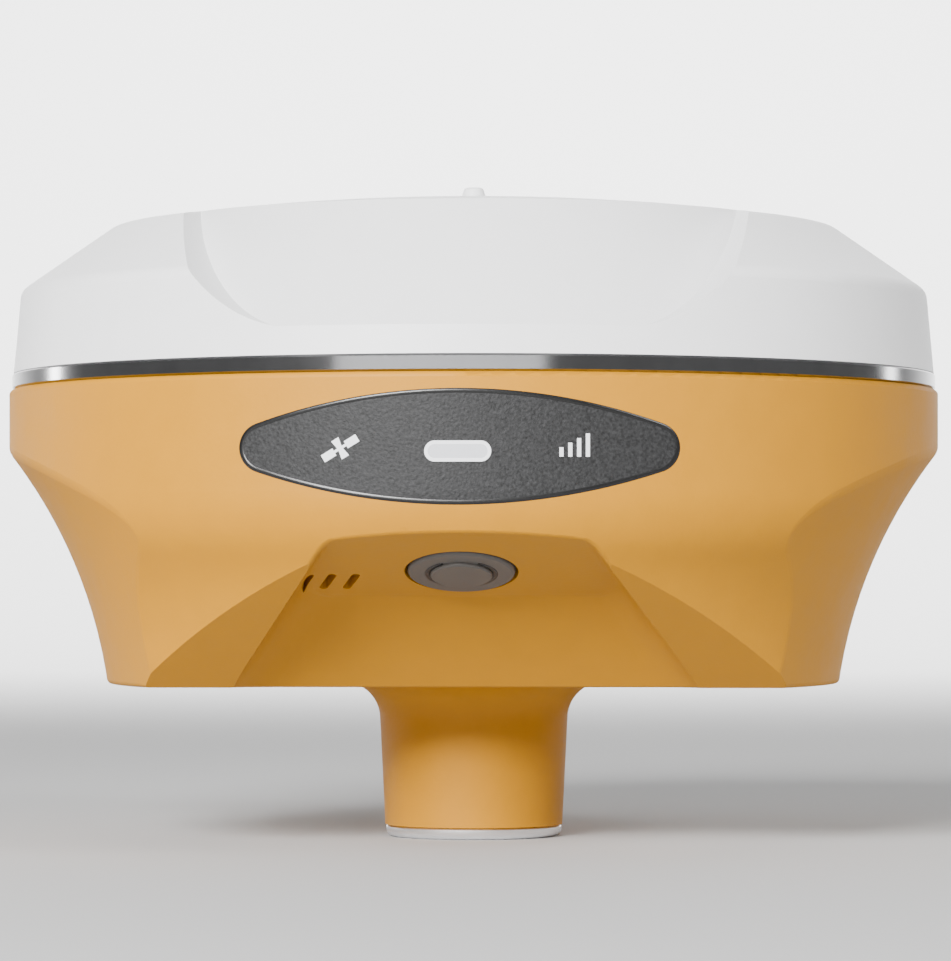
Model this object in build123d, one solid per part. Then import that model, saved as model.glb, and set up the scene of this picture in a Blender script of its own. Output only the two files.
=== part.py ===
from build123d import *
import os
from math import asin, atan, cos, hypot, radians, sin, sqrt

# Satellite positioning receiver for a survey pole. Millimetres, +Z up, front towards -Y.
# The origin is the centre of the mount ring's bottom face, on the axis of the pole thread.

# Driving dimensions of the body
BODY_RADIUS = 66.0
WALL = 2.2
RING_RADIUS = 12.5
RING_HEIGHT = 1.7
NECK_FOOT_RADIUS = 12.65
NECK_TOP_RADIUS = 13.4
NECK_FILLET = 5.1
FLOOR_Z = 21.9
HOUSING_TOP_Z = 63.3
BAND_TOP_Z = 65.6
BAND_RADIUS = 65.6

# Lower housing: concave flare, side scoops, arch slope and notch
FLARE_CENTRE = (91.0, 20.0)
FLARE_RADIUS = 34.0
SHOULDER_Z = 48.0
SCOOP_OFFSET = 27.0
SCOOP_Z = 12.3
SCOOP_MAJOR = 146.8
SCOOP_MINOR = 68.5
RIDGE_FILLET = 2.4
ARCH_DEPTH = 35.7
ARCH_TOP_DEPTH = 64.8
ARCH_TOP_Z = 42.4
NOTCH_TOP_HALF = 16.4
NOTCH_TOP_Z = 42.2
NOTCH_SPREAD = 0.752
CEILING_DEPTH = 62.0
CEILING_Z = 41.5
CEILING_RISE = 0.374
CEILING_BACK_DEPTH = 42.9
NOTCH_FOOT_DEPTH = 32.0
NOTCH_CORNER = 7.0
NOTCH_REACH = 90.0
CEILING_FILLET = 1.6
EDGE_RADIUS = 0.7

# Radome
RADOME_FOOT_RADIUS = 65.4
RADOME_WALL_TOP_RADIUS = 64.4
CONE_TAN = 0.70
CONE_EDGE = (63.6, 77.7)
DOME_RADIUS = 343.0
APEX_Z = 90.1
NUB_HEIGHT = 2.4
NUB_RADIUS = 2.4
RECESS_FOOT = (65.0, 69.4)
RECESS_RISE = 0.85
RECESS_FLAT_HALF = 23.0
RECESS_BOTTOM_Z = 68.0
RECESS_BEND = (33.2, 71.4)
RECESS_SIDE = (38.2, 77.0)
RECESS_TOP = (39.0, 110.0)
RECESS_SWEEP_RISE = 0.3

# Button and service side, set on the sloped ceilings of the two notches
PORT_DEPTH = 51.4
BUTTON_RADIUS = 7.1
BUTTON_HOLE = 7.5
SLOT_XS = (-14.7, -17.8, -20.8)
SLOT_DEPTH = 48.0
SLOT_LENGTH = 5.7
SLOT_WIDTH = 1.1
SLOT_LEAN = 18.0
SPEAKER_X = -18.6
SPEAKER_RADIUS = 5.8
USB_X = 13.0
HINGE_X = 17.6
VENT_X = -13.0
SOCKET_HOLE = 5.0
BUTTON_POST_X = 11.0
BUTTON_POST_TOP = 9.6
HINGE_DROP = 0.85
SERVICE_POST_Y = 7.6

# Panel
PANEL_Z = 53.6
PANEL_ARC_HALF = 34.2
PANEL_HALF_HEIGHT = 7.5
PANEL_END_RADIUS = 3.3
PANEL_THICKNESS = 0.7
PILL_Z = 53.0
PILL_LENGTH = 8.6
PILL_HEIGHT = 2.7
BEZEL_WIDTH = 0.45
BAR_X = 13.3
BAR_PITCH = 1.13
BAR_WIDTH = 0.52
BAR_HEIGHTS = (1.2, 1.8, 2.4, 3.0)
BAR_FOOT_Z = 52.3
SATELLITE_X = -15.2
SATELLITE_Z = 53.4
SATELLITE_TILT = 31.0
PANEL_BOARD_DEPTH = 57.0
PANEL_POST_X = 19.0

# Inner build
BOSS_XY = [(sx * 40.0, sy * 30.0) for sx in (-1, 1) for sy in (-1, 1)]
BOSS_RADIUS = 4.5
BOSS_TOP_Z = 60.3
POST_XY = [(sx * 39.0, sy * 9.0) for sx in (-1, 1) for sy in (-1, 1)]
FLOOR_TOP_Z = 24.3
TRAY_Z = 29.5
TRAY_EAR = 2.4
CELL_RADIUS = 9.2
CELL_LENGTH = 65.0
CELL_Z = 40.8
CELL_PITCH = 19.6
BOARD_Z = 52.0
BOARD_THICKNESS = 1.6
BOARD_RADIUS = 52.0
GROUND_Z = 66.6
GROUND_RADIUS = 56.0
GROUND_THICKNESS = 1.6
THREAD_RADIUS = 6.75
THREAD_LENGTH = 20.0
SLEEVE_RADIUS = 10.5
SLEEVE_TOP_Z = 29.2
SCREW_HEAD_Z = 52.0

BOTTOM = (Align.CENTER, Align.CENTER, Align.MIN)


def rod(radius, z0, z1, x=0.0, y=0.0):
    return Pos(x, y, z0) * Cylinder(radius, z1 - z0, align=BOTTOM)


def ring(outer, inner, z0, z1, x=0.0, y=0.0):
    return rod(outer, z0, z1, x, y) - rod(inner, z0 - 1, z1 + 1, x, y)


def block(width, depth, z0, z1, x=0.0, y=0.0):
    return Pos(x, y, z0) * Box(width, depth, z1 - z0, align=BOTTOM)


def mirrored(shape):
    return mirror(shape, about=Plane.XZ)


def group(shapes):
    return Compound(children=list(shapes))


def save(name, shape):
    os.makedirs("parts", exist_ok=True)
    export_step(shape, f"parts/{name}.step")


# ---------------------------------------------------------------- lower housing form
def flare_profile(inset, floor_z, top_z):
    """Half section: concave flare at the foot, convex shoulder, upright wall."""
    flare_x, flare_z = FLARE_CENTRE
    reach = flare_x - BODY_RADIUS
    rise = SHOULDER_Z - flare_z
    shoulder = (reach**2 + rise**2 - FLARE_RADIUS**2) / (2 * (FLARE_RADIUS - reach))
    shoulder_x = BODY_RADIUS - shoulder
    length = hypot(flare_x - shoulder_x, rise)
    flare = FLARE_RADIUS + inset
    convex = shoulder - inset
    turn = (flare_x - flare * (flare_x - shoulder_x) / length, flare_z + flare * rise / length)
    low = asin((floor_z - flare_z) / flare)
    high = asin((turn[1] - flare_z) / flare)
    middle = (low + high) / 2
    lean = asin((SHOULDER_Z - turn[1]) / convex) / 2
    foot = (flare_x - flare * cos(low), floor_z)
    flare_middle = (flare_x - flare * cos(middle), flare_z + flare * sin(middle))
    convex_middle = (shoulder_x + convex * cos(lean), SHOULDER_Z - convex * sin(lean))
    wall = BODY_RADIUS - inset
    edges = Curve() + [
        Line((0, floor_z), foot),
        ThreePointArc(foot, flare_middle, turn),
        ThreePointArc(turn, convex_middle, (wall, SHOULDER_Z)),
        Polyline((wall, SHOULDER_Z), (wall, top_z), (0, top_z), (0, floor_z)),
    ]
    return Plane.XZ * make_face(edges)


def arch_plane():
    slope = atan((ARCH_TOP_Z - FLOOR_Z) / (ARCH_TOP_DEPTH - ARCH_DEPTH))
    return Plane(origin=(0, -ARCH_DEPTH, FLOOR_Z), x_dir=(1, 0, 0), z_dir=(0, -sin(slope), -cos(slope)))


def ceiling_plane(x=0.0, depth=PORT_DEPTH):
    """Frame on the front notch's ceiling: z out of the housing, y towards the front."""
    slope = atan(CEILING_RISE)
    z = CEILING_Z + CEILING_RISE * (depth - CEILING_DEPTH)
    return Plane(origin=(x, -depth, z), x_dir=(1, 0, 0), z_dir=(0, -sin(slope), -cos(slope)))


def notch_cutter(grow=0.0):
    """Room under the ceiling: tilted ceiling, sloping back wall, spreading sides."""
    back_z = CEILING_Z + CEILING_RISE * (CEILING_BACK_DEPTH - CEILING_DEPTH)
    front_z = CEILING_Z + CEILING_RISE * (NOTCH_REACH - CEILING_DEPTH)
    lean = (CEILING_BACK_DEPTH - NOTCH_FOOT_DEPTH) / (back_z - FLOOR_Z)
    low_z = FLOOR_Z - 12.0
    low_depth = NOTCH_FOOT_DEPTH - 12.0 * lean
    outline = Polyline(
        (-NOTCH_REACH, front_z),
        (-CEILING_BACK_DEPTH, back_z),
        (-low_depth, low_z),
        (-NOTCH_REACH, low_z),
        close=True,
    )
    profile = Plane.YZ * offset(make_face(outline), amount=grow, kind=Kind.INTERSECTION)
    low_half = NOTCH_TOP_HALF + NOTCH_SPREAD * (NOTCH_TOP_Z - 5.0)
    high_half = NOTCH_TOP_HALF + NOTCH_SPREAD * (NOTCH_TOP_Z - 52.0)
    trapezoid = make_face(
        Polyline((-low_half, 5), (low_half, 5), (high_half, 52), (-high_half, 52), close=True)
    )
    trapezoid = Plane.XZ * offset(trapezoid, amount=grow, kind=Kind.INTERSECTION)
    cutter = extrude(profile, amount=60, both=True) & extrude(trapezoid, amount=NOTCH_REACH + 5)
    corners = [
        e
        for e in cutter.edges()
        if -CEILING_BACK_DEPTH - grow < e.center().Y < -25 and e.bounding_box().size.Z > 5
    ]
    cutter = fillet(corners, NOTCH_CORNER + grow)
    ceiling = ceiling_plane().offset(-grow)
    rim = [e for e in cutter.edges() if abs(ceiling.to_local_coords(e.center()).Z) < 0.05]
    rim = [e for e in rim if e.center().Y > -NOTCH_REACH + 5]
    return fillet(rim, CEILING_FILLET + grow)


def housing_form(inset, floor_z, top_z):
    """Closed outer form of the lower housing, or the same form moved inwards by inset."""
    quarter = revolve(flare_profile(inset, floor_z, top_z), Axis.Z, 90)
    quarter -= Pos(-SCOOP_OFFSET, 0, SCOOP_Z) * Torus(SCOOP_MAJOR, SCOOP_MINOR + inset)
    if inset == 0:
        ridge = [e for e in quarter.edges() if e.geom_type == GeomType.BSPLINE]
        quarter = fillet(ridge, RIDGE_FILLET)
    half = quarter + mirror(quarter, about=Plane.YZ)
    form = half + mirrored(half)
    slope = arch_plane().offset(-inset) * Box(220, 160, 60, align=BOTTOM)
    notch = notch_cutter(inset)
    return form - slope - mirrored(slope) - notch - mirrored(notch)


def softened(form):
    """Moulded radii on the underside, on the top rim and along both notch lips."""
    lip = ceiling_plane()
    rims = []
    for e in form.edges():
        front = Vector(e.center().X, -abs(e.center().Y), e.center().Z)
        start = Vector((e @ 0).X, -abs((e @ 0).Y), (e @ 0).Z)
        on_lip = abs(lip.to_local_coords(front).Z) < 0.02 and abs(lip.to_local_coords(start).Z) < 0.02
        on_rim = min(abs(e.center().Z - FLOOR_Z), abs(e.center().Z - HOUSING_TOP_Z)) < 0.01
        if on_lip or on_rim:
            rims.append(e)
    return fillet(rims, EDGE_RADIUS)


# ---------------------------------------------------------------- lower housing
def neck():
    """Tapered neck with a round fillet into the flat underside."""
    fillet_foot_z = FLOOR_Z - NECK_FILLET
    bend = NECK_FILLET * (1 - sqrt(0.5))
    edges = Curve() + [
        Polyline((0, RING_HEIGHT), (NECK_FOOT_RADIUS, RING_HEIGHT), (NECK_TOP_RADIUS, fillet_foot_z)),
        ThreePointArc(
            (NECK_TOP_RADIUS, fillet_foot_z),
            (NECK_TOP_RADIUS + bend, FLOOR_Z - bend),
            (NECK_TOP_RADIUS + NECK_FILLET, FLOOR_Z),
        ),
        Polyline(
            (NECK_TOP_RADIUS + NECK_FILLET, FLOOR_Z),
            (NECK_TOP_RADIUS + NECK_FILLET, FLOOR_Z + 1),
            (0, FLOOR_Z + 1),
            (0, RING_HEIGHT),
        ),
    ]
    return revolve(Plane.XZ * make_face(edges), Axis.Z)


def slot_cutters():
    """Three slanted speaker slots, their front ends leaning towards the button."""
    slots = []
    for x in SLOT_XS:
        frame = ceiling_plane(x, SLOT_DEPTH)
        slot = extrude(SlotOverall(SLOT_LENGTH, SLOT_WIDTH, 90), amount=4.6)
        slots.append(frame * Rot(0, 0, -SLOT_LEAN) * Pos(0, 0, -4) * slot)
    return slots


def eye_outline():
    """Panel outline: two shallow arcs with small round ends."""
    sweep = (PANEL_ARC_HALF**2 + PANEL_HALF_HEIGHT**2) / (2 * PANEL_HALF_HEIGHT)
    drop = sweep - PANEL_HALF_HEIGHT
    eye = (Pos(0, -drop) * Circle(sweep)) & (Pos(0, drop) * Circle(sweep))
    return fillet(eye.vertices(), PANEL_END_RADIUS)


def front_prism(outline, x, z, reach=80.0):
    """Outline on the front plane, run straight back through the front wall."""
    return Pos(0, -50, 0) * extrude(Plane.XZ * (Pos(x, z) * outline), amount=reach - 50)


def lower_housing(outer, recess):
    inner = housing_form(WALL, FLOOR_TOP_Z, HOUSING_TOP_Z - 3.0)
    shell = outer - inner - rod(60.3, HOUSING_TOP_Z - 4.0, HOUSING_TOP_Z + 1)
    shell += neck()
    envelope = housing_form(1.0, FLOOR_Z + 1, HOUSING_TOP_Z - 1)
    for x, y in BOSS_XY:
        shell += rod(BOSS_RADIUS, FLOOR_Z + 1, BOSS_TOP_Z, x, y) & envelope
    for x, y in POST_XY:
        shell += rod(3.2, FLOOR_Z + 1, TRAY_Z, x, y)
    front = ceiling_plane()
    for x in (-BUTTON_POST_X, BUTTON_POST_X):
        shell += front * Pos(x, 0, -BUTTON_POST_TOP) * Cylinder(1.6, BUTTON_POST_TOP - 1, align=BOTTOM)
    for x in (-PANEL_POST_X, PANEL_POST_X):
        post = Pos(x, -PANEL_BOARD_DEPTH, PANEL_Z) * Rot(90, 0, 0) * Cylinder(2.0, 8, align=BOTTOM)
        shell += post & envelope
    shell -= rod(SLEEVE_RADIUS, 0, FLOOR_TOP_Z + 1)
    for x, y in BOSS_XY:
        shell -= rod(3.2, FLOOR_Z - 2, SCREW_HEAD_Z, x, y)
        shell -= rod(1.6, SCREW_HEAD_Z - 1, BOSS_TOP_Z + 1, x, y)
    for x, y in POST_XY:
        shell -= rod(1.5, FLOOR_TOP_Z + 0.6, TRAY_Z + 1, x, y)
    for x in (-BUTTON_POST_X, BUTTON_POST_X):
        shell -= front * Pos(x, 0, -BUTTON_POST_TOP - 1) * Cylinder(0.8, 5, align=BOTTOM)
    for x in (-PANEL_POST_X, PANEL_POST_X):
        shell -= Pos(x, -PANEL_BOARD_DEPTH, PANEL_Z) * Rot(90, 0, 0) * Cylinder(0.8, 3, align=BOTTOM)
    shell -= front * Cylinder(BUTTON_HOLE, 8)
    for slot in slot_cutters():
        shell -= slot
    service = mirrored_frame(USB_X)
    for y in (-SERVICE_POST_Y, SERVICE_POST_Y):
        shell += service * Pos(0, y, -7.5) * Cylinder(1.5, 6.5, align=BOTTOM)
    rear = mirrored_frame(0)
    shell -= rear * Cylinder(SOCKET_HOLE, 8)
    shell -= service * Box(3.4, 9.2, 8)
    shell -= mirrored_frame(VENT_X) * Cylinder(2.5, 8)
    shell -= recess
    shell -= front_prism(SlotOverall(PILL_LENGTH, PILL_HEIGHT), 0, PILL_Z)
    return shell - ring(63.6, 61.4, HOUSING_TOP_Z - 1.3, HOUSING_TOP_Z + 1)


def mirrored_frame(x):
    """Frame on the rear notch's ceiling: z out of the housing, y towards the rear."""
    front = ceiling_plane(x)
    origin = (x, -front.origin.Y, front.origin.Z)
    z_dir = (0, -front.z_dir.Y, front.z_dir.Z)
    return Plane(origin=origin, x_dir=(-1, 0, 0), z_dir=z_dir)


# ---------------------------------------------------------------- radome
def recess_cutter(grow=0.0):
    """Recess in the radome's front: conical floor between hollow sides that run back and up."""
    foot_radius, foot_z = RECESS_FOOT
    apex_z = foot_z + RECESS_RISE * foot_radius - grow * sqrt(1 + RECESS_RISE**2)
    rim_z = apex_z - RECESS_RISE * 90
    floor = make_face(Polyline((0, apex_z), (90, rim_z), (90, 130), (0, 130), close=True))
    side_x, side_z = RECESS_SIDE
    bend_x, bend_z = RECESS_BEND
    top_x, top_z = RECESS_TOP
    edges = Curve() + [
        Polyline((-side_x, side_z), (-top_x, top_z), (top_x, top_z), (side_x, side_z)),
        ThreePointArc((side_x, side_z), (bend_x, bend_z), (RECESS_FLAT_HALF, RECESS_BOTTOM_Z)),
        Line((RECESS_FLAT_HALF, RECESS_BOTTOM_Z), (-RECESS_FLAT_HALF, RECESS_BOTTOM_Z)),
        ThreePointArc((-RECESS_FLAT_HALF, RECESS_BOTTOM_Z), (-bend_x, bend_z), (-side_x, side_z)),
    ]
    outline = offset(make_face(edges), amount=grow, kind=Kind.INTERSECTION) if grow else make_face(edges)
    start = Plane(origin=(0, -80, -15 * RECESS_SWEEP_RISE), x_dir=(1, 0, 0), z_dir=(0, -1, 0))
    run = Vector(0, 75, 75 * RECESS_SWEEP_RISE)
    swept = extrude(start * outline, amount=run.length, dir=run)
    return swept & revolve(Plane.XZ * floor, Axis.Z)


def radome_form(inset, foot_z):
    """Upright wall, conical shoulder and shallow dome, moved inwards by inset."""
    wall = Pos(0, 0, BAND_TOP_Z) * Cone(
        RADOME_FOOT_RADIUS - inset, RADOME_WALL_TOP_RADIUS - inset - 1.2, 24, align=BOTTOM
    )
    wall += rod(RADOME_FOOT_RADIUS - inset, foot_z, BAND_TOP_Z)
    drop = inset * sqrt(1 + CONE_TAN**2)
    apex_z = CONE_EDGE[1] + CONE_EDGE[0] * CONE_TAN - drop
    cone_foot_z = BAND_TOP_Z - 10
    cone_height = apex_z - cone_foot_z
    cone = Pos(0, 0, cone_foot_z) * Cone(cone_height / CONE_TAN, 0, cone_height, align=BOTTOM)
    dome = Pos(0, 0, APEX_Z - DOME_RADIUS) * Sphere(DOME_RADIUS - inset)
    form = wall & cone & dome
    rims = [e for e in form.edges() if e.geom_type == GeomType.CIRCLE and e.center().Z > 72]
    form = fillet(rims, 2.2)
    recess = recess_cutter(inset)
    return form - recess - mirrored(recess)


def radome():
    nub = Pos(0, 0, APEX_Z - 1) * Cone(NUB_RADIUS, NUB_RADIUS * 0.55, NUB_HEIGHT + 1, align=BOTTOM)
    nub = fillet(nub.edges().sort_by(Axis.Z)[-1], 0.6)
    shell = radome_form(0, BAND_TOP_Z) - radome_form(WALL, BAND_TOP_Z - 1) + nub
    ledge = ring(64.5, 60.5, BAND_TOP_Z, BAND_TOP_Z + 2.4) & radome_form(0.3, BAND_TOP_Z)
    shell += ledge
    envelope = radome_form(0.5, BOSS_TOP_Z)
    for x, y in BOSS_XY:
        shell += rod(4.0, BOSS_TOP_Z, 90, x, y) & envelope
        shell -= rod(1.5, BOSS_TOP_Z - 1, BOSS_TOP_Z + 11, x, y)
    return shell - ring(63.6, 61.4, BAND_TOP_Z - 1, BAND_TOP_Z + 1.3)


def trim_ring():
    band = ring(BAND_RADIUS, 60.5, HOUSING_TOP_Z, BAND_TOP_Z)
    rims = [e for e in band.edges() if e.geom_type == GeomType.CIRCLE and e.length > 400]
    return chamfer(rims, 0.3)


def seal(z0, z1, middle_z):
    """O-ring of 1.9 mm, flattened where the faces squeeze it."""
    cord = Pos(0, 0, middle_z) * Torus(62.5, 0.95)
    return cord & ring(63.5, 61.5, z0, z1)


# ---------------------------------------------------------------- pole insert
def pole_insert():
    """Flanged sleeve with the blind pole thread; its flange is the mount ring."""
    flange = rod(RING_RADIUS, 0, RING_HEIGHT)
    flange = fillet(flange.edges().sort_by(Axis.Z)[0], 1.1)
    sleeve = flange + rod(SLEEVE_RADIUS, RING_HEIGHT, SLEEVE_TOP_Z)
    return sleeve - rod(THREAD_RADIUS, -1, THREAD_LENGTH)


def lock_nut():
    nut = extrude(RegularPolygon(15.5, 6), amount=3.4)
    return Pos(0, 0, FLOOR_TOP_Z + 1.0) * nut - rod(SLEEVE_RADIUS, 20, 35)


# ---------------------------------------------------------------- front panel
def satellite_outline():
    """Generic satellite: waisted body between two rectangular panels, tilted."""
    half = 1.35
    body = make_face(
        Polyline(
            (-half, -0.55), (-0.3, -0.35), (0.3, -0.35), (half, -0.55),
            (half, 0.55), (0.3, 0.35), (-0.3, 0.35), (-half, 0.55), close=True,
        )
    )
    wings = Pos(0, 1.75) * Rectangle(1.05, 1.75) + Pos(0, -1.75) * Rectangle(1.05, 1.75)
    stay = Rectangle(0.35, 2.4)
    return Rot(0, 0, SATELLITE_TILT - 90) * (body + wings + stay)


def bar_outlines():
    bars = Sketch()
    for i, height in enumerate(BAR_HEIGHTS):
        bars += Pos(i * BAR_PITCH, height / 2) * Rectangle(BAR_WIDTH, height)
    return bars


# ---------------------------------------------------------------- button group
def power_button():
    """Captive cap with a broken ring groove, its flange behind the ceiling wall."""
    cap = Pos(0, 0, -3.6) * Cylinder(BUTTON_RADIUS, 3.9, align=BOTTOM)
    cap = fillet(cap.edges().sort_by(Axis.Z)[-1], 0.5)
    flange = Pos(0, 0, -3.6) * Cylinder(8.3, 0.9, align=BOTTOM)
    pad = fillet((Pos(0, 0, 0) * Cylinder(4.1, 0.75, align=BOTTOM)).edges().sort_by(Axis.Z)[-1], 0.3)
    stem = Pos(0, 0, -5.2) * Cylinder(2.2, 2.0, align=BOTTOM)
    groove = Pos(0, 0, -0.15) * (Cylinder(4.65, 1, align=BOTTOM) - Cylinder(4.15, 1, align=BOTTOM))
    bridge = make_face(Polyline((0, 0), (-6, 10), (6, 10), close=True))
    groove -= Pos(0, 0, -1) * extrude(bridge, amount=3)
    return ceiling_plane() * (cap + flange + pad + stem - groove)


# ---------------------------------------------------------------- service side
def antenna_socket():
    """Threaded radio aerial socket: flange, barrel and inner threaded tail."""
    flange = Cylinder(6.6, 1.4, align=BOTTOM)
    barrel = Cylinder(4.9, 8.5, align=BOTTOM)
    barrel = chamfer(barrel.edges().sort_by(Axis.Z)[-1], 0.4)
    tail = Pos(0, 0, -7) * Cylinder(4.9, 7, align=BOTTOM)
    hollow = Pos(0, 0, 1.4) * Cylinder(3.9, 10, align=BOTTOM)
    return mirrored_frame(0) * (flange + barrel + tail - hollow)


def port_cover():
    """Rubber flap with a rolled hinge edge, closed over the USB socket."""
    flap = Pos(4.45, 0, 0.15) * Box(6.3, 12.0, 1.4, align=BOTTOM)
    flap = fillet(flap.edges().filter_by(Axis.Z), 1.2)
    roll = Pos(0, 0, HINGE_DROP) * Rot(90, 0, 0) * Cylinder(0.85, 8.0)
    link = Pos(0.9, 0, 0.4) * Box(1.4, 8.0, 0.9, align=BOTTOM)
    bore = Pos(0, 0, HINGE_DROP) * Rot(90, 0, 0) * Cylinder(0.45, 10.0)
    return mirrored_frame(HINGE_X) * (flap + roll + link - bore)


def hinge_ears():
    """Two ears on the rear ceiling that hold the flap's pin."""
    ears = Part()
    for y in (-4.75, 4.75):
        ears += Pos(0, y, -0.8) * Box(1.2, 0.9, 2.3, align=BOTTOM)
    ears -= Pos(0, 0, HINGE_DROP) * Rot(90, 0, 0) * Cylinder(0.4, 12)
    return mirrored_frame(HINGE_X) * ears


def usb_socket():
    """Metal shell with its tongue, mouth just inside the rear ceiling."""
    shell = Pos(0, 0, -7.5) * Box(3.2, 9.0, 7.0, align=BOTTOM)
    shell -= Pos(0, 0, -6.5) * Box(2.6, 8.4, 7.0, align=BOTTOM)
    tongue = Pos(0, 0, -7.0) * Box(0.7, 6.6, 5.0, align=BOTTOM)
    return mirrored_frame(USB_X) * (shell + tongue)


def vent_plug():
    head = Cylinder(3.5, 0.9, align=BOTTOM)
    head = fillet(head.edges().sort_by(Axis.Z)[-1], 0.4)
    stem = Pos(0, 0, -3.4) * Cylinder(2.5, 3.4, align=BOTTOM)
    slits = Part()
    for x in (-1.2, 0, 1.2):
        slits += Pos(x, 0, 0.4) * Box(0.5, 3.4, 1.0, align=BOTTOM)
    return mirrored_frame(VENT_X) * (head + stem - slits)


# ---------------------------------------------------------------- screws and posts
def screws(points, head_z, tip_z, radius, head_radius, head_height, frame=Plane.XY):
    """Like screws whose heads sit at head_z and whose tips reach tip_z."""
    way = 1 if tip_z > head_z else -1
    made = []
    for x, y in points:
        low = min(head_z, tip_z)
        shank = Pos(x, y, low) * Cylinder(radius, abs(tip_z - head_z), align=BOTTOM)
        head_low = head_z - head_height if way > 0 else head_z
        head = Pos(x, y, head_low) * Cylinder(head_radius, head_height, align=BOTTOM)
        key_low = head_low if way > 0 else head_low + head_height * 0.5
        key = Pos(x, y, key_low) * extrude(RegularPolygon(head_radius * 0.5, 6), amount=head_height * 0.5)
        made.append(frame * (shank + head - key))
    return group(made)


def standoffs(foot_z, top_z, stud_z, bore_depth):
    """Hexagonal posts at the four corners: stud below, threaded bore above."""
    made = []
    for x, y in POST_XY:
        post = Pos(x, y, foot_z) * extrude(RegularPolygon(2.9, 6), amount=top_z - foot_z)
        post += rod(1.5, stud_z, foot_z, x, y)
        made.append(post - rod(1.5, top_z - bore_depth, top_z + 1, x, y))
    return group(made)


# ---------------------------------------------------------------- battery and boards
def battery_tray():
    tray = block(70, 60, TRAY_Z, CELL_Z)
    for y in (-CELL_PITCH, 0, CELL_PITCH):
        tray -= Pos(0, y, CELL_Z) * Rot(0, 90, 0) * Cylinder(CELL_RADIUS, CELL_LENGTH + 1.2)
    for x, y in POST_XY:
        tray += block(11, 8, TRAY_Z, TRAY_Z + TRAY_EAR, x - 2 * x / abs(x), y)
        tray -= rod(1.6, TRAY_Z - 1, CELL_Z + 1, x, y)
    return tray


def battery_cells():
    cells = []
    for y in (-CELL_PITCH, 0, CELL_PITCH):
        can = Cylinder(CELL_RADIUS, CELL_LENGTH)
        can = fillet(can.edges().filter_by(GeomType.CIRCLE), 0.6)
        cells.append(Pos(0, y, CELL_Z) * Rot(0, 90, 0) * can)
    return group(cells)


def battery_contacts():
    strips = []
    for x in (-1, 1):
        strips.append(block(0.5, 50, CELL_Z + 0.2, CELL_Z + 6, x * (CELL_LENGTH / 2 + 0.25), 0))
    return group(strips)


def main_board():
    board = rod(BOARD_RADIUS, BOARD_Z, BOARD_Z + BOARD_THICKNESS)
    for x, y in BOSS_XY:
        board -= rod(BOSS_RADIUS + 0.8, BOARD_Z - 1, BOARD_Z + 3, x, y)
    for x, y in POST_XY:
        board -= rod(1.6, BOARD_Z - 1, BOARD_Z + 3, x, y)
    return board


def box_group(items, floor_z):
    """Boxes standing on a board: (x, y, width, depth, height) each."""
    made = []
    for x, y, width, depth, height in items:
        made.append(block(width, depth, floor_z, floor_z + height, x, y))
    return group(made)


def ground_plane():
    plate = rod(GROUND_RADIUS, GROUND_Z, GROUND_Z + GROUND_THICKNESS)
    for x, y in BOSS_XY:
        plate -= rod(BOSS_RADIUS + 0.4, GROUND_Z - 1, GROUND_Z + 3, x, y)
    for x, y in POST_XY:
        plate -= rod(1.6, GROUND_Z - 1, GROUND_Z + 3, x, y)
    return plate


# ---------------------------------------------------------------- assembly
outer = softened(housing_form(0, FLOOR_Z, HOUSING_TOP_Z))
eye = front_prism(eye_outline(), 0, PANEL_Z)
recess = eye - housing_form(PANEL_THICKNESS, FLOOR_Z + 1, HOUSING_TOP_Z + 1)
skin = outer & recess

housing = lower_housing(outer, recess) + hinge_ears()
save("lower_housing", housing)
save("radome", radome())
save("trim_ring", trim_ring())
save("housing_seal", seal(HOUSING_TOP_Z - 1.3, HOUSING_TOP_Z, HOUSING_TOP_Z - 0.6))
save("radome_seal", seal(BAND_TOP_Z, BAND_TOP_Z + 1.3, BAND_TOP_Z + 0.6))
save("housing_screws", screws(BOSS_XY, SCREW_HEAD_Z, BOSS_TOP_Z + 10, 1.5, 2.75, 3.0))

save("pole_insert", pole_insert())
save("insert_washer", ring(16.5, SLEEVE_RADIUS, FLOOR_TOP_Z, FLOOR_TOP_Z + 1.0))
save("insert_nut", lock_nut())

satellite = front_prism(satellite_outline(), SATELLITE_X, SATELLITE_Z) & skin
bars = front_prism(bar_outlines(), BAR_X, BAR_FOOT_Z) & skin
bezel_outer = SlotOverall(PILL_LENGTH, PILL_HEIGHT)
bezel_inner = SlotOverall(PILL_LENGTH - 2 * BEZEL_WIDTH, PILL_HEIGHT - 2 * BEZEL_WIDTH)
lens_room = front_prism(bezel_inner, 0, PILL_Z)
panel = skin - satellite - bars - front_prism(bezel_outer, 0, PILL_Z)
save("front_panel", panel)
save("satellite_window", group(satellite.solids()))
save("signal_window", group(bars.solids()))
bezel_reach = Pos(0, -70, PILL_Z) * Box(20, 14, 10)
lens_reach = Pos(0, -70, PILL_Z) * Box(20, 22, 10)
save("lens_bezel", front_prism(bezel_outer - bezel_inner, 0, PILL_Z) & outer & bezel_reach)
save("status_lens", lens_room & outer & lens_reach)
panel_board = Pos(0, -PANEL_BOARD_DEPTH + 0.6, PANEL_Z) * Box(43, 1.2, 11.6)
for x in (-PANEL_POST_X, PANEL_POST_X):
    panel_board -= Pos(x, -PANEL_BOARD_DEPTH, PANEL_Z) * Rot(90, 0, 0) * Cylinder(0.9, 6)
save("panel_board", panel_board)
panel_frame = Plane(origin=(0, -PANEL_BOARD_DEPTH, PANEL_Z), x_dir=(1, 0, 0), z_dir=(0, -1, 0))
panel_points = [(-PANEL_POST_X, 0), (PANEL_POST_X, 0)]
save("panel_screws", screws(panel_points, -1.2, 2.8, 0.8, 1.6, 1.0, panel_frame))
leds = []
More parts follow.
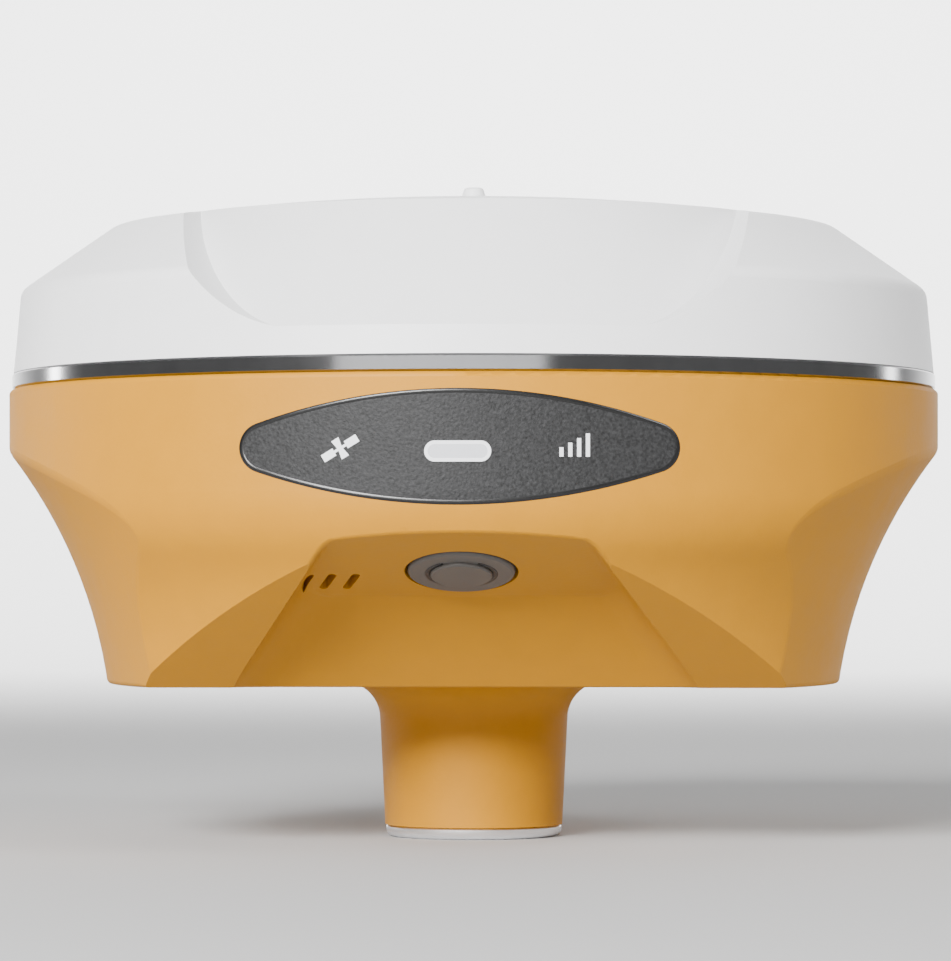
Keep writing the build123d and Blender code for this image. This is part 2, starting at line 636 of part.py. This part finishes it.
for x in (SATELLITE_X + 0.8, -2.4, 0, 2.4, BAR_X, BAR_X + 2):
    leds.append(Pos(x, -PANEL_BOARD_DEPTH - 0.4, PILL_Z) * Box(1.6, 0.8, 1.2))
save("panel_leds", group(leds))

save("power_button", power_button())
save("button_seal", ceiling_plane() * ring(9.3, 8.7, -4.4, -2.2))
switch = Pos(0, 0, -9.6) * Box(6, 6, 3.0, align=BOTTOM)
switch += rod(1.6, -6.6, -6.1)
save("button_switch", ceiling_plane() * switch)
button_points = [(-BUTTON_POST_X, 0), (BUTTON_POST_X, 0)]
button_board = Pos(0, 0, -10.8) * Box(27, 9, 1.2, align=BOTTOM)
for x, y in button_points:
    button_board -= Pos(x, y, -12) * Cylinder(0.9, 4, align=BOTTOM)
save("button_board", ceiling_plane() * button_board)
save("button_screws", screws(button_points, -10.8, -6.0, 0.8, 1.5, 0.9, ceiling_plane()))

speaker_frame = ceiling_plane(SPEAKER_X, SLOT_DEPTH + 1.0)
save("speaker_mesh", speaker_frame * (Pos(0, 0, -2.5) * Cylinder(SPEAKER_RADIUS, 0.3, align=BOTTOM)))
driver = Pos(0, 0, -4.5) * Cylinder(SPEAKER_RADIUS, 2.0, align=BOTTOM)
magnet = Pos(0, 0, -6.2) * Cylinder(3.6, 1.7, align=BOTTOM)
save("speaker", speaker_frame * (driver + magnet))

save("antenna_socket", antenna_socket())
insulator = Pos(0, 0, 1.4) * (Cylinder(3.9, 3.0, align=BOTTOM) - Cylinder(0.7, 3.0, align=BOTTOM))
save("socket_insulator", mirrored_frame(0) * insulator)
save("socket_pin", mirrored_frame(0) * (Pos(0, 0, 1.4) * Cylinder(0.7, 6.0, align=BOTTOM)))
nut = Pos(0, 0, -4.8) * extrude(RegularPolygon(7.4, 6), amount=2.4)
nut -= Pos(0, 0, -5) * Cylinder(4.9, 4, align=BOTTOM)
save("socket_nut", mirrored_frame(0) * nut)
save("usb_socket", usb_socket())
save("service_board", mirrored_frame(USB_X) * (Pos(0, 0, -8.7) * Box(7.6, 18.6, 1.2, align=BOTTOM)))
save("port_cover", port_cover())
pin = Pos(0, 0, HINGE_DROP) * Rot(90, 0, 0) * Cylinder(0.4, 10.4)
save("hinge_pin", mirrored_frame(HINGE_X) * pin)
save("vent_plug", vent_plug())

save("battery_tray", battery_tray())
save("battery_cells", battery_cells())
save("battery_contacts", battery_contacts())
save("lower_standoffs", standoffs(TRAY_Z + TRAY_EAR, BOARD_Z, FLOOR_TOP_Z + 0.6, 7.0))
board_top = BOARD_Z + BOARD_THICKNESS
save("main_board", main_board())
save("upper_standoffs", standoffs(board_top, GROUND_Z, BOARD_Z - 6.0, 7.0))
cans = [(-20, 12, 26, 22, 3.2), (12, 24, 20, 16, 2.8), (20, -16, 20, 16, 3.0)]
save("shield_cans", box_group(cans, board_top))
chips = [(8, 4, 10, 10, 1.4), (-18, -14, 12, 8, 1.2), (-4, -20, 7, 7, 1.0)]
save("board_chips", box_group(chips, board_top))
save("board_connectors", box_group([(-6, -40, 16, 5, 5.0), (-10, 40, 12, 5, 5.0)], board_top))
save("wireless_antenna", box_group([(20, 42, 9, 3, 1.6)], board_top))
amplifier_z = GROUND_Z - 1.6
save("amplifier_board", rod(24, amplifier_z, GROUND_Z))
save("amplifier_shield", block(28, 28, amplifier_z - 4.0, amplifier_z))
save("coaxial_link", rod(1.6, board_top, amplifier_z, 18, 0))
save("antenna_ground_plane", ground_plane())
patch_z = GROUND_Z + GROUND_THICKNESS
save("lower_patch", rod(34, patch_z, patch_z + 5.0))
save("upper_patch", rod(24, patch_z + 5.0, patch_z + 9.5))
feeds = []
for turn in (45, 135, 225, 315):
    x = 9 * cos(radians(turn))
    y = 9 * sin(radians(turn))
    feeds.append(rod(0.8, patch_z + 9.5, patch_z + 10.3, x, y))
save("feed_pins", group(feeds))
save("antenna_screws", screws(POST_XY, patch_z, GROUND_Z - 6.0, 1.5, 2.75, 1.8))
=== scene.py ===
import math

import bmesh
import bpy
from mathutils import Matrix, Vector


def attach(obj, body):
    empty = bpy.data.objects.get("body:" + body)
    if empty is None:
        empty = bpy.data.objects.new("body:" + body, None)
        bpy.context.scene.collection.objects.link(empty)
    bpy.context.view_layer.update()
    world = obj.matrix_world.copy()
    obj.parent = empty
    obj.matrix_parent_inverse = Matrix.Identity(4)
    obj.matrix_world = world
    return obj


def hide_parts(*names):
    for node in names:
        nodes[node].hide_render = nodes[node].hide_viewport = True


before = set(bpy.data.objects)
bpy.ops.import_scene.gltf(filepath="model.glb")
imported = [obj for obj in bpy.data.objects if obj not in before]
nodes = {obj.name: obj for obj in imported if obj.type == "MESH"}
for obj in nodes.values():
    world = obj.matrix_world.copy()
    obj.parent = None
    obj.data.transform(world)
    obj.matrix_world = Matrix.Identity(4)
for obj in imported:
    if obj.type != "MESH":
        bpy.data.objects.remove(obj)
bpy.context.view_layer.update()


# Camera and light. A plain studio: one broad soft sheet high in front and to the left, weaker
# ones above and at the right, a low strip in front for the neck, two narrow ones behind for
# the rims, and a lamp that lights the backdrop.
def place_camera(away, height, swing_degrees):
    swing = math.radians(swing_degrees)
    data = bpy.data.cameras.new("camera")
    data.sensor_width = 36.0
    data.lens = 168.6
    data.clip_start = 0.01
    data.shift_x = 0.0018
    data.shift_y = 0.1056
    camera = bpy.data.objects.new("camera", data)
    camera.location = (math.sin(swing) * away, -math.cos(swing) * away, height)
    camera.rotation_euler = (math.radians(90), 0, swing)
    bpy.context.scene.collection.objects.link(camera)
    bpy.context.scene.camera = camera


def soft_light(name, place, aim, width, height, power, spread=180):
    data = bpy.data.lights.new(name, "AREA")
    data.shape = "RECTANGLE"
    data.size = width
    data.size_y = height
    data.energy = power
    data.spread = math.radians(spread)
    lamp = bpy.data.objects.new(name, data)
    lamp.location = place
    lamp.rotation_euler = (Vector(aim) - Vector(place)).to_track_quat("-Z", "Y").to_euler()
    bpy.context.scene.collection.objects.link(lamp)


place_camera(away=0.643, height=0.0362, swing_degrees=1.8)
soft_light("key", (-0.40, -1.0, 0.58), (0, 0, 0.045), 0.55, 0.38, power=42.0)
soft_light("top", (-0.1, -0.1, 1.2), (0, 0, 0.08), 0.9, 0.7, power=1.2)
soft_light("fill", (0.85, -0.45, 0.62), (0, 0, 0.05), 0.4, 0.4, power=6.5)
soft_light("strip_low", (-0.13, -1.2, 0.125), (0, 0, 0.06), 1.1, 0.022, power=0.75)
soft_light("rim_left", (-0.97, 0.57, 0.14), (0, 0, 0.06), 0.10, 0.22, power=1.8)
soft_light("rim_right", (0.95, 0.62, 0.14), (0, 0, 0.06), 0.10, 0.22, power=0.8)
soft_light("backdrop", (0.0, 1.0, 1.5), (0, 1.9, 0.3), 1.6, 0.5, power=110.0, spread=115)

world = bpy.data.worlds.new("studio")
bpy.context.scene.world = world
world.use_nodes = True
room = world.node_tree.nodes["Background"]
room.inputs["Color"].default_value = (1.0, 1.0, 1.0, 1.0)
room.inputs["Strength"].default_value = 0.25


# Floor. A pale paper sheet that lies flat under the receiver and curls up far behind it, so
# no edge shows. It is part of the studio, not of the receiver.
def piece_from(name, mesh, material):
    """Turns a finished bmesh into an object of one material, placed at the origin."""
    data = bpy.data.meshes.new(name)
    mesh.to_mesh(data)
    mesh.free()
    data.materials.append(material)
    piece = bpy.data.objects.new(name, data)
    bpy.context.scene.collection.objects.link(piece)
    return piece


def make_floor():
    half_width = 3.0
    front = -2.0
    bend_start = 1.2
    bend = 0.8
    bend_steps = 12
    top = 3.0
    profile = [(front, 0.0), (bend_start, 0.0)]
    for step in range(1, bend_steps + 1):
        turn = math.radians(90 * step / bend_steps)
        profile.append((bend_start + bend * math.sin(turn), bend - bend * math.cos(turn)))
    profile.append((bend_start + bend, top))
    mesh = bmesh.new()
    rows = []
    for y, z in profile:
        rows.append([mesh.verts.new((x, y, z)) for x in (-half_width, half_width)])
    for low, high in zip(rows, rows[1:]):
        mesh.faces.new((low[0], low[1], high[1], high[0])).smooth = True
    paper = bpy.data.materials.new("floor_paper")
    paper.use_nodes = True
    shader = paper.node_tree.nodes["Principled BSDF"]
    shader.inputs["Base Color"].default_value = (0.42, 0.42, 0.42, 1)
    shader.inputs["Roughness"].default_value = 0.9
    floor = piece_from("floor", mesh, paper)


make_floor()


# Lower housing. One thick-walled moulding in tough yellow plastic with a fine spark-eroded
# texture; neck, side scoops, both notches and the screw bosses come out of the same tool.
def finish(name, colour, roughness, metallic=0.0, grain=0.0005, depth=0.00001, mottle=0.04,
           mottle_size=0.004, gloss=0.5, stretch=(1, 1, 1)):
    """A moulded, turned or printed finish: mottled colour, uneven sheen and a fine grain.

    grain and depth are the size and height of the surface texture in metres, mottle is the
    share by which the colour varies, and stretch draws the texture out along an axis.
    """
    material = bpy.data.materials.new(name)
    material.use_nodes = True
    tree = material.node_tree
    shader = tree.nodes["Principled BSDF"]
    shader.inputs["Metallic"].default_value = metallic
    shader.inputs["Specular IOR Level"].default_value = gloss
    place = tree.nodes.new("ShaderNodeTexCoord")
    scale = tree.nodes.new("ShaderNodeMapping")
    scale.inputs["Scale"].default_value = stretch
    tree.links.new(place.outputs["Object"], scale.inputs["Vector"])
    cloud = tree.nodes.new("ShaderNodeTexNoise")
    cloud.inputs["Scale"].default_value = 1.0 / mottle_size
    cloud.inputs["Detail"].default_value = 4.0
    tree.links.new(scale.outputs["Vector"], cloud.inputs["Vector"])
    shades = tree.nodes.new("ShaderNodeValToRGB")
    shades.color_ramp.elements[0].position = 0.3
    shades.color_ramp.elements[1].position = 0.7
    shades.color_ramp.elements[0].color = (*[c * (1 - mottle) for c in colour], 1)
    shades.color_ramp.elements[1].color = (*[min(1, c * (1 + mottle)) for c in colour], 1)
    tree.links.new(cloud.outputs["Fac"], shades.inputs["Fac"])
    tree.links.new(shades.outputs["Color"], shader.inputs["Base Color"])
    sheen = tree.nodes.new("ShaderNodeMapRange")
    sheen.inputs["To Min"].default_value = roughness * 0.88
    sheen.inputs["To Max"].default_value = min(1.0, roughness * 1.12)
    tree.links.new(cloud.outputs["Fac"], sheen.inputs["Value"])
    tree.links.new(sheen.outputs["Result"], shader.inputs["Roughness"])
    speck = tree.nodes.new("ShaderNodeTexNoise")
    speck.inputs["Scale"].default_value = 1.0 / grain
    speck.inputs["Detail"].default_value = 2.0
    tree.links.new(scale.outputs["Vector"], speck.inputs["Vector"])
    bump = tree.nodes.new("ShaderNodeBump")
    bump.inputs["Distance"].default_value = depth
    bump.inputs["Strength"].default_value = 1.0
    tree.links.new(speck.outputs["Fac"], bump.inputs["Height"])
    tree.links.new(bump.outputs["Normal"], shader.inputs["Normal"])
    return material


def dress(material, *names):
    """Gives CAD nodes one material."""
    for name in names:
        data = nodes[name].data
        data.materials.clear()
        data.materials.append(material)


yellow = finish("housing_yellow", (0.49, 0.208, 0.001), 0.55, grain=0.0006, depth=0.00002,
                mottle=0.02, gloss=0.25)
dress(yellow, "lower_housing")

# Radome. Thin white moulding over the antenna, satin on top, with no metal in it, so that
# it lets the satellite signals through. It seats on its own seal.
white = finish("radome_white", (0.86, 0.86, 0.865), 0.45, grain=0.0008, depth=0.000012,
               mottle=0.008)
dress(white, "radome")

# Trim ring. One polished ring with a dark plated finish, clamped between the two shells with
# a seal above it and a seal below.
plated = finish("dark_chrome", (0.27, 0.27, 0.275), 0.14, metallic=1.0, depth=0.000001,
                mottle=0.05)
dress(plated, "trim_ring")

# Seals. Black silicone cords of round section in the grooves above and below the trim ring,
# and the soft ring behind the power button.
rubber = finish("seal_rubber", (0.02, 0.02, 0.02), 0.75, grain=0.0003, mottle=0.2)
dress(rubber, "housing_seal", "radome_seal", "button_seal")


# Pole insert. Turned stainless sleeve, blind at the top, fixed in the neck with a nut and a
# washer. Its flange is the mount ring, and its bore carries a 5/8 inch thread of eleven
# turns to the inch.
def make_insert():
    columns = 96
    pitch = 0.0254 / 11
    bore = 0.00675
    bore_top = 0.0200
    drill_tip = 0.0216
    groove = 0.00105
    flank = 1.35
    land = 0.17
    thread_top = 0.0192
    thread_foot = 0.0014
    lead_in = [(0.0079, 0.0009, 0.0), (0.0086, 0.0, 0.0)]
    flange = 0.0125
    flange_height = 0.00168
    corner = 0.0011
    barrel = 0.0105
    top = 0.0292
    chamfer = 0.0003
    rows = [(0.0, drill_tip, 0.0), (bore, bore_top, 0.0)]
    level = thread_top
    while level > thread_foot:
        rows.append((bore, level, groove))
        level -= pitch / 10
    rows += lead_in
    rows.append((flange - corner, 0.0, 0.0))
    for step in range(1, 7):
        turn = math.radians(15 * step)
        reach = flange - corner + corner * math.sin(turn)
        rows.append((reach, corner - corner * math.cos(turn), 0.0))
    rows += [(flange, 0.0014, 0.0), (0.01225, flange_height, 0.0), (barrel, flange_height, 0.0)]
    rows += [(barrel, top - chamfer, 0.0), (barrel - chamfer, top, 0.0), (0.0, top, 0.0)]
    mesh = bmesh.new()
    rings = []
    for radius, level, cut in rows:
        if radius == 0.0:
            rings.append([mesh.verts.new((0, 0, level))] * columns)
            continue
        ring = []
        for column in range(columns):
            share = column / columns
            wave = abs(2 * ((level / pitch - share) % 1.0) - 1)
            reach = radius + cut * min(1.0, max(0.0, flank * wave - land))
            turn = 2 * math.pi * share
            ring.append(mesh.verts.new((reach * math.cos(turn), reach * math.sin(turn), level)))
        rings.append(ring)
    for near, far in zip(rings, rings[1:]):
        for column in range(columns):
            after = (column + 1) % columns
            corners = [near[column], near[after], far[after], far[column]]
            mesh.faces.new(list(dict.fromkeys(corners))).smooth = True
    bmesh.ops.recalc_face_normals(mesh, faces=mesh.faces)
    insert = piece_from("threaded_insert", mesh, turned)
    insert.data.set_sharp_from_angle(angle=math.radians(35))
    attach(insert, "root")
    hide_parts("pole_insert")


turned = finish("turned_steel", (0.93, 0.93, 0.94), 0.30, metallic=1.0, grain=0.0006,
                depth=0.000004, stretch=(1, 1, 8))
make_insert()
dress(turned, "insert_nut", "insert_washer")

# Front panel. Grained dark film let into the front wall, with windows printed through it:
# a satellite, four signal bars, and the milky lens of the status light in its white bezel.
film = finish("panel_film", (0.014, 0.014, 0.0145), 0.62, grain=0.00042, depth=0.00007,
              mottle=0.8, mottle_size=0.0004, gloss=0.4)
dress(film, "front_panel")
ink = finish("window_ink", (0.85, 0.86, 0.88), 0.35, mottle=0.02)
dress(ink, "satellite_window", "signal_window", "lens_bezel")
milk = finish("lens_milk", (0.60, 0.61, 0.64), 0.22, mottle=0.02, gloss=0.6)
dress(milk, "status_lens")


# Panel rim. Glossy black bead round the film, where it turns down into its recess. It
# follows the housing's upright wall, and the flare that starts low on that wall.
def make_rim():
    sweep = 0.081726
    drop = 0.074226
    tip_x = 0.025318
    tip_radius = 0.0033
    centre_z = 0.0536
    width = 0.0006
    lift = 0.00008
    body_radius = 0.066
    flare_z = 0.048
    flare_radius = 0.01406
    long_steps = 48
    tip_steps = 16
    spread = math.atan2(tip_x, drop)
    turn_side = math.pi / 2 - spread
    section = ((-0.00005, -0.0001), (0.0001, lift), (width * 0.7, lift), (width, 0.00002))
    mesh = bmesh.new()
    loops = []
    for inset, rise in section:
        path = []
        for step in range(long_steps + 1):
            turn = spread - 2 * spread * step / long_steps
            reach = sweep - inset
            path.append((reach * math.sin(turn), reach * math.cos(turn) - drop))
        for step in range(1, tip_steps):
            turn = math.pi / 2 + spread + 2 * turn_side * step / tip_steps
            reach = tip_radius - inset
            path.append((-tip_x + reach * math.cos(turn), reach * math.sin(turn)))
        path += [(-x, -z) for x, z in path]
        loop = []
        for x, z in path:
            height = centre_z + z
            under = max(0.0, flare_z - height)
            wall = body_radius - (flare_radius - math.sqrt(flare_radius**2 - under**2)) + rise
            loop.append(mesh.verts.new((x, -math.sqrt(wall**2 - x**2), height)))
        loops.append(loop)
    for outer, inner in zip(loops, loops[1:]):
        for index in range(len(outer)):
            after = (index + 1) % len(outer)
            corners = (outer[index], outer[after], inner[after], inner[index])
            mesh.faces.new(corners).smooth = True
    bmesh.ops.recalc_face_normals(mesh, faces=mesh.faces)
    rim = piece_from("panel_rim", mesh, finish("rim_black", (0.006, 0.006, 0.006), 0.3, mottle=0.1))
    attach(rim, "root")


make_rim()

# Power button. Soft-touch grey cap with a broken ring cut into it, over a black tact switch
# on the button board. The chips on the main board are moulded in the same black plastic.
dress(finish("button_grey", (0.082, 0.074, 0.066), 0.5), "power_button")
dress(finish("switch_black", (0.012, 0.012, 0.013), 0.4), "button_switch", "board_chips")


# Button groove shade. Thin black ring laid in the cap's broken ring groove, open towards the front:
# painted shade for the dark walls of the groove. It is fixed to the cap, and moves with it.
def make_button_groove_shade():
    origin = Vector((0.0, -0.0514, 0.0375356))
    out = Vector((0.0, -0.3502, -0.9367)).normalized()
    side = Vector((1.0, 0.0, 0.0))
    front = out.cross(side)
    gap = math.radians(34)
    steps = 56
    section = ((0.00414, 0.00031), (0.00416, 0.00037), (0.00478, 0.00037), (0.00482, 0.00031))
    mesh = bmesh.new()
    bands = []
    for radius, height in section:
        band = []
        for step in range(steps + 1):
            turn = gap + (2 * math.pi - 2 * gap) * step / steps
            ray = front * math.cos(turn) + side * math.sin(turn)
            band.append(mesh.verts.new(origin + out * height + ray * radius))
        bands.append(band)
    for inner, outer in zip(bands, bands[1:]):
        for step in range(steps):
            corners = (inner[step], inner[step + 1], outer[step + 1], outer[step])
            mesh.faces.new(corners).smooth = True
    bmesh.ops.recalc_face_normals(mesh, faces=mesh.faces)
    mesh.faces.ensure_lookup_table()
    if mesh.faces[steps].normal.dot(out) < 0:
        bmesh.ops.reverse_faces(mesh, faces=mesh.faces)
    # Painted shade: a near-black ring that stands for the shade inside the groove.
    shade_material = finish("painted_groove_shade", (0.012, 0.010, 0.009), 0.5, mottle=0.1)
    groove_shade_ring = piece_from("button_groove_shade", mesh, shade_material)
    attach(groove_shade_ring, "button")


make_button_groove_shade()

# Speaker. Small round driver with a bright rim, held in the housing behind the slots in the
# notch ceiling, with black woven cloth in front of it to keep the dust out.
cloth = finish("mesh_black", (0.018, 0.018, 0.018), 0.7, grain=0.0004, depth=0.0001, mottle=0.5)
dress(cloth, "speaker_mesh")
dress(finish("speaker_metal", (0.45, 0.45, 0.46), 0.35, metallic=1.0), "speaker")

# Screws, posts and pins. The screws and the hinge pin are zinc-plated steel. The standoffs
# that carry the boards, the contact pins and the coaxial link are turned brass.
zinc = finish("zinc_plate", (0.62, 0.62, 0.64), 0.32, metallic=1.0, mottle=0.06)
dress(zinc, "housing_screws", "panel_screws", "button_screws", "antenna_screws", "hinge_pin")
brass = finish("brass", (0.72, 0.50, 0.20), 0.3, metallic=1.0, mottle=0.06)
dress(brass, "lower_standoffs", "upper_standoffs", "socket_pin", "feed_pins", "coaxial_link")

# Circuit boards. Glass-fibre boards under green solder mask with a faint weave, tinned cans
# over the receivers, cream connectors and chip aerial, and the lenses of the panel's lights.
mask = finish("board_green", (0.012, 0.12, 0.045), 0.35, grain=0.0007, depth=0.00002, mottle=0.18)
dress(mask, "main_board", "panel_board", "button_board", "service_board", "amplifier_board")
tin = finish("can_metal", (0.58, 0.59, 0.60), 0.38, metallic=1.0, mottle=0.08)
dress(tin, "shield_cans", "amplifier_shield")
dress(finish("connector_cream", (0.62, 0.58, 0.48), 0.5), "board_connectors", "wireless_antenna")
dress(finish("diode_lens", (0.80, 0.82, 0.78), 0.3), "panel_leds")

# Battery. Three cells in blue sleeves lie in a black moulded tray, with nickel strips
# spot-welded across their ends.
dress(finish("tray_black", (0.022, 0.022, 0.024), 0.6, grain=0.0006, depth=0.00002), "battery_tray")
dress(finish("cell_blue", (0.02, 0.09, 0.28), 0.3, mottle=0.08), "battery_cells")
dress(finish("contact_nickel", (0.66, 0.64, 0.60), 0.3, metallic=1.0), "battery_contacts")

# Antenna stack. Brushed aluminium ground plane under two disc patches of ceramic-filled
# laminate, screwed down on the upper standoffs.
aluminium = finish("ground_aluminium", (0.72, 0.73, 0.74), 0.35, metallic=1.0, stretch=(1, 12, 1))
dress(aluminium, "antenna_ground_plane")
dress(finish("patch_laminate", (0.70, 0.66, 0.56), 0.5, mottle=0.06), "lower_patch", "upper_patch")

# Service side. Nickel-plated aerial socket with a white insulator, USB shell, rubber port
# cover on its pin, and the vent plug.
nickel = finish("socket_metal", (0.64, 0.60, 0.50), 0.25, metallic=1.0)
dress(nickel, "antenna_socket", "socket_nut", "usb_socket")
dress(finish("insulator_white", (0.82, 0.82, 0.80), 0.4), "socket_insulator")
soft_black = finish("cover_rubber", (0.022, 0.022, 0.022), 0.65, depth=0.00003)
dress(soft_black, "port_cover", "vent_plug")


# Socket thread. Rolled thread on the aerial socket's barrel, run out at both ends, so that
# it stops before the barrel's chamfer.
def make_socket_thread():
    across = 48
    turns = 6
    run_out = 12
    pitch = 0.0009
    start = 0.0019
    root = 0.00485
    tip = 0.00520
    half = 0.00038
    land = half * 0.25
    origin = Vector((0.0, 0.0514, 0.0375356))
    out = Vector((0.0, 0.3502, -0.9367)).normalized()
    side = Vector((1.0, 0.0, 0.0))
    up = out.cross(side)
    mesh = bmesh.new()
    sections = []
    total = across * turns
    for step in range(total + 1):
        turn = 2 * math.pi * step / across
        along = start + pitch * step / across
        fade = min(1.0, step / run_out, (total - step) / run_out)
        crest = root + (tip - root) * fade
        ray = side * math.cos(turn) + up * math.sin(turn)
        points = [(root, along - half), (crest, along - land),
                  (crest, along + land), (root, along + half)]
        corners = [origin + out * shift + ray * radius for radius, shift in points]
        sections.append([mesh.verts.new(corner) for corner in corners])
    for near, far in zip(sections, sections[1:]):
        for index in range(3):
            mesh.faces.new((near[index], near[index + 1], far[index + 1], far[index]))
    bmesh.ops.recalc_face_normals(mesh, faces=mesh.faces)
    thread = piece_from("socket_thread", mesh, nickel)
    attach(thread, "root")


make_socket_thread()


# Board passives. Small ceramic capacitors soldered in two arcs along each edge of the main
# board.
def make_passives():
    chip_size = (0.0006, 0.0012, 0.0005)
    board_top = 0.05385
    count = 13
    sizes = {"Radius": 0.0435, "Row Gap": 0.003, "Reach": math.radians(24)}
    tree = bpy.data.node_groups.new("passive_rows", "GeometryNodeTree")
    tree.interface.new_socket("Geometry", in_out="OUTPUT", socket_type="NodeSocketGeometry")
    for name in sizes:
        tree.interface.new_socket(name, in_out="INPUT", socket_type="NodeSocketFloat")
    tree.interface.new_socket("Count", in_out="INPUT", socket_type="NodeSocketInt")
    given = tree.nodes.new("NodeGroupInput")
    result = tree.nodes.new("NodeGroupOutput")

    def times(socket, factor):
        product = tree.nodes.new("ShaderNodeMath")
        product.operation = "MULTIPLY"
        product.inputs[1].default_value = factor
        tree.links.new(socket, product.inputs[0])
        return product.outputs[0]

    start = times(given.outputs["Reach"], -1.0)
    sweep = times(given.outputs["Reach"], 2.0)
    outer = tree.nodes.new("ShaderNodeMath")
    tree.links.new(given.outputs["Radius"], outer.inputs[0])
    tree.links.new(given.outputs["Row Gap"], outer.inputs[1])
    join = tree.nodes.new("GeometryNodeJoinGeometry")
    chip = tree.nodes.new("GeometryNodeMeshCube")
    chip.inputs["Size"].default_value = chip_size
    for radius in (given.outputs["Radius"], outer.outputs[0]):
        arc = tree.nodes.new("GeometryNodeCurveArc")
        tree.links.new(given.outputs["Count"], arc.inputs["Resolution"])
        tree.links.new(radius, arc.inputs["Radius"])
        tree.links.new(start, arc.inputs["Start Angle"])
        tree.links.new(sweep, arc.inputs["Sweep Angle"])
        place = tree.nodes.new("GeometryNodeInstanceOnPoints")
        tree.links.new(arc.outputs["Curve"], place.inputs["Points"])
        tree.links.new(chip.outputs["Mesh"], place.inputs["Instance"])
        for half_turn in (0.0, math.pi):
            move = tree.nodes.new("GeometryNodeTransform")
            move.inputs["Rotation"].default_value = (0, 0, half_turn)
            move.inputs["Translation"].default_value = (0, 0, board_top)
            tree.links.new(place.outputs["Instances"], move.inputs["Geometry"])
            tree.links.new(move.outputs["Geometry"], join.inputs["Geometry"])
    solid = tree.nodes.new("GeometryNodeRealizeInstances")
    paint = tree.nodes.new("GeometryNodeSetMaterial")
    tree.links.new(join.outputs["Geometry"], solid.inputs["Geometry"])
    tree.links.new(solid.outputs["Geometry"], paint.inputs["Geometry"])
    tree.links.new(paint.outputs["Geometry"], result.inputs["Geometry"])
    ceramic = finish("chip_ceramic", (0.42, 0.30, 0.18), 0.4)
    paint.inputs["Material"].default_value = ceramic
    maker = bpy.data.objects.new("passive_maker", bpy.data.meshes.new("passive_maker"))
    bpy.context.scene.collection.objects.link(maker)
    grown = maker.modifiers.new("rows", "NODES")
    grown.node_group = tree
    inputs = [item for item in tree.interface.items_tree if item.in_out == "INPUT"]
    sockets = {item.name: item.identifier for item in inputs}
    for name, value in sizes.items():
        grown[sockets[name]] = value
    grown[sockets["Count"]] = count
    bpy.context.view_layer.update()
    ready = maker.evaluated_get(bpy.context.evaluated_depsgraph_get())
    data = bpy.data.meshes.new_from_object(ready)
    bpy.data.objects.remove(maker)
    data.materials.clear()
    data.materials.append(ceramic)
    passives = bpy.data.objects.new("board_passives", data)
    bpy.context.scene.collection.objects.link(passives)
    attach(passives, "root")


make_passives()
